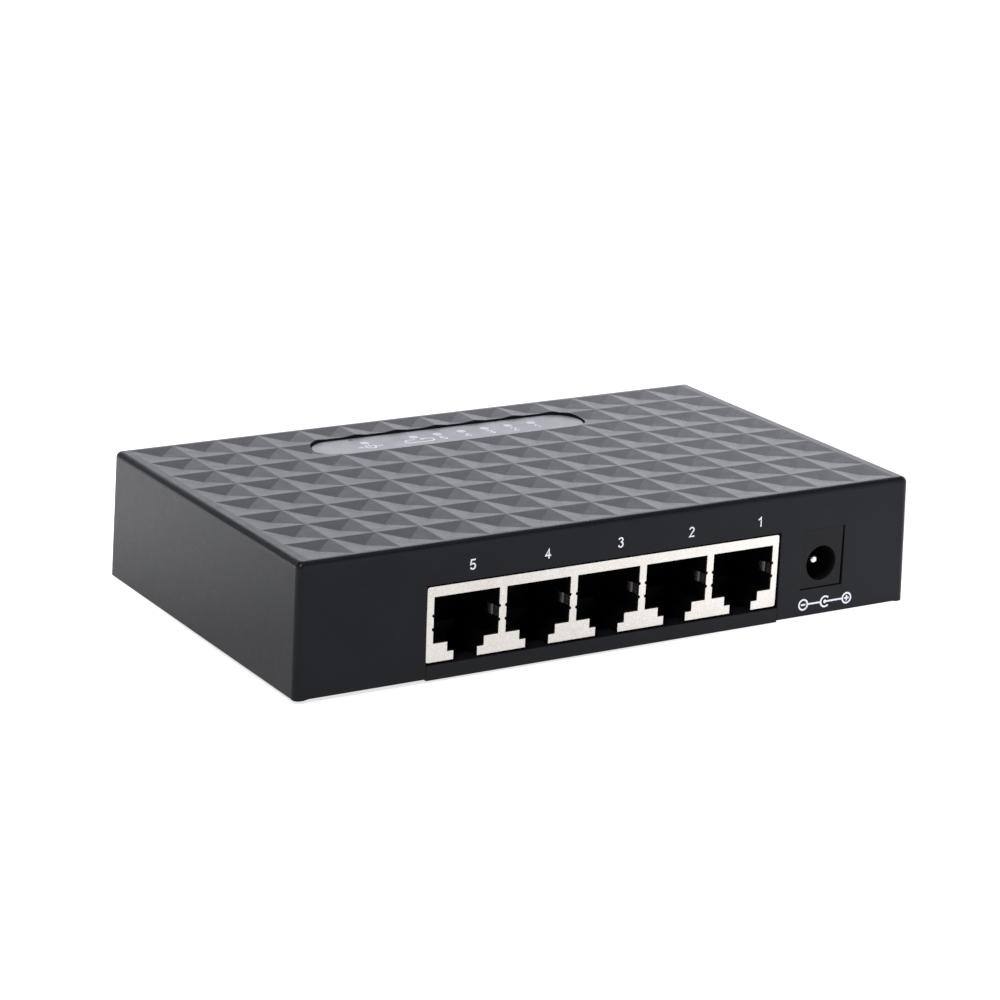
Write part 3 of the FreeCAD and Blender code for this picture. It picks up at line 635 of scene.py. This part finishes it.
def loop_legend():
    """Long loop, open in its upper run, with an arrow head at the gap."""
    half = 2.1 * MM                    # from the middle to each end's centre
    radius = 0.85 * MM
    gap_start = -0.6 * MM
    gap_end = 0.95 * MM
    arrow_tip = 0.3 * MM
    barb_below = 0.7 * MM
    barb_above = 0.45 * MM
    bm = bmesh.new()
    left = arc_points(-half, 0, radius, radius, 90, 270)
    right = arc_points(half, 0, radius, radius, -90, 90)
    add_stroke(bm, [(gap_start, radius)] + left + right + [(gap_end, radius)], LEGEND_STROKE)
    arrow = ((arrow_tip, radius), (gap_end, radius - barb_below), (gap_end, radius + barb_above))
    bm.faces.new([bm.verts.new((x, y, 0)) for x, y in arrow])
    return bm


def legend_faces(indicator):
    """Flat faces of an indicator's legend: a symbol, or its socket's number."""
    if indicator == "power":
        return power_legend()
    if indicator == "loop":
        return loop_legend()
    return glyph_faces(indicator[-1], LEGEND_HEIGHT)


def print_label_marks(ink, window_ink):
    """Light windows and legends on the indicator film, each over its light."""
    for indicator in INDICATORS:
        low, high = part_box("led_" + indicator)
        x = (low.x + high.x) / 2
        y = (low.y + high.y) / 2
        window = bmesh.new()
        add_disc(window, WINDOW_RADIUS)
        flat_piece("window_" + indicator, window, label_frame(x, y), window_ink)
        flat_piece("legend_" + indicator, legend_faces(indicator),
                   label_frame(x, y - LEGEND_OFFSET), ink)


# ----------------------------------------------------------------------- stage

# The photograph's viewing angle: degrees to the right of +Y, below the horizon, and of roll.
CAMERA_AZIMUTH = 31.924
CAMERA_ELEVATION = 16.89
CAMERA_ROLL = 2.495
CAMERA_PLACE = Vector((-0.281004, -0.446979, 0.177176))
CAMERA_LENS_MM = 111.09
CAMERA_SENSOR_MM = 36.0
CAMERA_NEAREST = 0.01


def make_camera():
    """Camera at the photograph's viewing angle, with the picture's slight roll."""
    data = bpy.data.cameras.new("camera")
    data.lens = CAMERA_LENS_MM
    data.sensor_width = CAMERA_SENSOR_MM
    data.clip_start = CAMERA_NEAREST
    camera = link(bpy.data.objects.new("camera", data))
    azimuth, elevation, roll = (math.radians(a) for a in
                                (CAMERA_AZIMUTH, CAMERA_ELEVATION, CAMERA_ROLL))
    forward = Vector((math.sin(azimuth) * math.cos(elevation),
                      math.cos(azimuth) * math.cos(elevation), -math.sin(elevation)))
    level = Vector((math.cos(azimuth), -math.sin(azimuth), 0))
    upright = level.cross(forward)
    right = level * math.cos(roll) + upright * math.sin(roll)
    up = right.cross(forward)
    turn = Matrix((right, up, -forward)).transposed()
    camera.matrix_world = Matrix.Translation(CAMERA_PLACE) @ turn.to_4x4()
    bpy.context.scene.camera = camera


FLOOR_HALF = 4.0                       # half the table's side, far past every view
FLOOR_PAINT = (0.55, 0.55, 0.55)
GLOW_TINT = (0.982, 0.987, 1.008, 1.0)
GLOW_NEAR = 0.72                       # the table's own glow close to the object
GLOW_FAR = 0.9                         # added to it gradually between these distances
FAR_FROM = 0.14
FAR_TO = 0.5
GLOW_BEHIND = 1.2                      # added behind the object on the left, in full from here
BEHIND_X = -0.08
BEHIND_Y = 0.082
GLOW_BESIDE = 0.9                      # added in front on the right, in full from here
BESIDE_X = 0.1
BESIDE_Y = -0.045
FADED_Y = -0.1                         # in front of here only a part of two glows is left:
FAR_FADE_Y = -0.055                    # where the near and far glow starts to fade
FAR_FADED = 0.8
BESIDE_FADE_Y = -0.06                  # where the glow beside the object starts to fade
BESIDE_FADED = 0.6


def make_floor():
    """White table whose glow grows with distance, and to the back left and front right."""
    bm = bmesh.new()
    bmesh.ops.create_grid(bm, x_segments=8, y_segments=8, size=FLOOR_HALF)
    m = Nodes("floor", FLOOR_PAINT, 0.9, specular=0.0)
    split = m.split()
    x = split["X"]
    y = split["Y"]
    behind = m.multiply(m.spread(x, 0.0, BEHIND_X), m.spread(y, 0.0, BEHIND_Y))
    beside = m.multiply(m.spread(x, 0.0, BESIDE_X), m.spread(y, 0.0, BESIDE_Y))
    beside = m.multiply(beside, m.spread(y, BESIDE_FADE_Y, FADED_Y, 1.0, BESIDE_FADED))
    away = m.add("ShaderNodeVectorMath", operation="LENGTH")
    m.join(m.place, away.inputs["Vector"])
    far = m.spread(away.outputs["Value"], FAR_FROM, FAR_TO, GLOW_NEAR, GLOW_NEAR + GLOW_FAR)
    far = m.multiply(far, m.spread(y, FAR_FADE_Y, FADED_Y, 1.0, FAR_FADED))
    glow = m.add_up(m.add_up(m.spread(behind, 0.0, 1.0, 0.0, GLOW_BEHIND), far),
                    m.spread(beside, 0.0, 1.0, 0.0, GLOW_BESIDE))
    m.set("Emission Color", GLOW_TINT)
    m.join(glow, m.shader.inputs["Emission Strength"])
    floor = mesh_object("floor", bm, m.material)


SKY_TINT = (0.96, 0.975, 1.06, 1.0)
BACKDROP = 1.7                         # strength of the low backdrop all round
CEILING = 0.2                          # and of the room above it
OVERHEAD = 7.0                         # straight up, times the ceiling

# The sky's strength is the product of these smooth ramps. Each gives an axis of the direction
# looked in, where the ramp starts and ends on it, and the strength at both.
SKY_RAMPS = (
    ("Z", 0.46, 0.56, BACKDROP, CEILING),
    ("Z", 0.05, 0.42, 0.95, 1.35),     # the backdrop is brighter higher up
    ("Z", 0.84, 0.98, 1.0, OVERHEAD),
    ("Y", -0.8, 0.6, 0.55, 1.0),       # dimmer on the socket side than at the back
    ("X", -0.3, 0.35, 0.36, 1.0),      # dimmer on the left than on the right
    ("X", 0.42, 0.64, 1.0, 1.25),      # and brightest furthest right
)


def sky_ramp(tree, value, low, high, out_low, out_high):
    """Smooth step of a value from one strength to another."""
    ramp = tree.nodes.new("ShaderNodeMapRange")
    ramp.interpolation_type = "SMOOTHSTEP"
    ramp.inputs["From Min"].default_value = low
    ramp.inputs["From Max"].default_value = high
    ramp.inputs["To Min"].default_value = out_low
    ramp.inputs["To Max"].default_value = out_high
    tree.links.new(value, ramp.inputs["Value"])
    return ramp.outputs["Result"]


def make_world():
    """Dim room with a bright low backdrop, brightest at the back right, and a bright zenith."""
    world = bpy.data.worlds.new("studio")
    bpy.context.scene.world = world
    world.use_nodes = True
    tree = world.node_tree
    background = tree.nodes["Background"]
    direction = tree.nodes.new("ShaderNodeTexCoord").outputs["Generated"]
    split = tree.nodes.new("ShaderNodeSeparateXYZ")
    tree.links.new(direction, split.inputs["Vector"])
    parts = [sky_ramp(tree, split.outputs[axis], *ramp) for axis, *ramp in SKY_RAMPS]
    strength = parts[0]
    for part in parts[1:]:
        product = tree.nodes.new("ShaderNodeMath")
        product.operation = "MULTIPLY"
        tree.links.new(strength, product.inputs[0])
        tree.links.new(part, product.inputs[1])
        strength = product.outputs["Value"]
    tree.links.new(strength, background.inputs["Strength"])
    background.inputs["Color"].default_value = SKY_TINT


def softbox(name, direction, distance, size, power):
    """Square area light, metres from the object in a direction, facing it; power in watts."""
    data = bpy.data.lights.new(name, "AREA")
    data.size = size
    data.energy = power
    lamp = link(bpy.data.objects.new(name, data))
    lamp.location = Vector(direction).normalized() * distance
    lamp.rotation_euler = (-lamp.location).to_track_quat("-Z", "Y").to_euler()


def make_stage():
    """Camera, table, room and two lamps."""
    make_camera()
    make_floor()
    make_world()
    softbox("key", (-0.565, -0.261, 0.78), distance=1.0, size=0.25, power=5.0)
    softbox("fill", (0.1, -0.95, 0.35), distance=1.2, size=0.6, power=1.5)
    bpy.context.scene.view_settings.view_transform = "Standard"


def main():
    """Dresses the CAD nodes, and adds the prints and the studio."""
    dress_frame(make_materials())
    white_ink = print_ink("print_white", SOCKET_INK)
    print_socket_marks(white_ink)
    print_polarity_mark(white_ink)
    print_label_marks(print_ink("label_legend_ink", LEGEND_INK),
                      print_ink("label_window_ink", WINDOW_INK))
    make_stage()


main()
